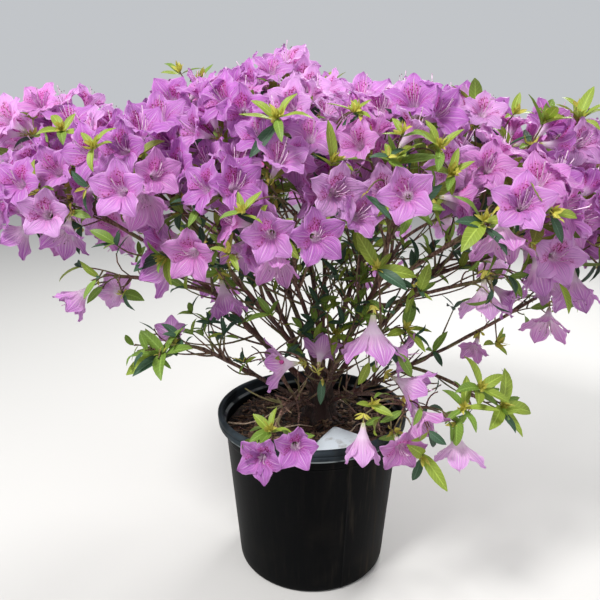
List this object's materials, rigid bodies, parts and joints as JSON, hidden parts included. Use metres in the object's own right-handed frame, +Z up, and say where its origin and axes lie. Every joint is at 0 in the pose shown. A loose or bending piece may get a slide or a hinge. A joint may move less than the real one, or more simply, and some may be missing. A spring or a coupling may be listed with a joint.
{
  "type": "potted azalea shrub",
  "caption": "Azalea shrub in full bloom, with slim spreading stems and a broad open crown of lavender blossom, in a black plastic nursery pot.",
  "frame": {"origin": "middle of the pot's flat underside", "axes": "+Z up the plant, -Y towards the front, +X towards the plant's right as seen from the front"},
  "size_m": [0.8649, 0.6418, 0.7524],
  "materials": {
    "pot_plastic": "black moulded plastic, dusty satin",
    "potting_mix": "shredded pine bark and peat",
    "tag_plastic": "plain white plastic card",
    "bark": "thin brown bark",
    "blossom": "soft lavender petals",
    "leaf": "satin green leaves"
  },
  "bodies": {
    "root": {"pot": "pot_plastic", "soil": "potting_mix", "plant_tag": "tag_plastic", "root_crown": "bark", "limb_top": "bark", "limb_upper_left": "bark", "limb_upper_right": "bark", "limb_left": "bark", "limb_front_left": "bark", "limb_front": "bark", "limb_front_right": "bark", "limb_right": "bark", "limb_back_right": "bark", "limb_back": "bark", "limb_back_left": "bark", "limb_low_left": "bark", "limb_low_right": "bark", "limb_low_front": "bark", "limb_hanging_left": "bark", "limb_hanging_right": "bark", "mass_top": "blossom", "mass_top_front": "blossom", "mass_top_back": "blossom", "mass_top_left": "blossom", "mass_upper_left": "blossom", "mass_top_right": "blossom", "mass_upper_right": "blossom", "mass_far_left": "blossom", "mass_left": "blossom", "mass_left_front": "blossom", "mass_front_left": "blossom", "mass_upper_front": "blossom", "mass_front": "blossom", "mass_middle_left": "blossom", "mass_middle_right": "blossom", "mass_front_right": "blossom", "mass_right_front": "blossom", "mass_right_low": "blossom", "mass_right": "blossom", "mass_far_right": "blossom", "mass_right_side": "blossom", "mass_back_right": "blossom", "mass_upper_back_right": "blossom", "mass_back": "blossom", "mass_back_low": "blossom", "mass_back_left": "blossom", "mass_left_back": "blossom", "mass_back_left_low": "blossom", "mass_low_left": "blossom", "mass_left_low": "blossom", "mass_low_right": "blossom", "mass_low_front_right": "blossom", "mass_low_front": "blossom", "mass_low_middle": "blossom", "mass_hanging_left": "blossom", "mass_hanging_right": "blossom"}
  },
  "joints": []
}
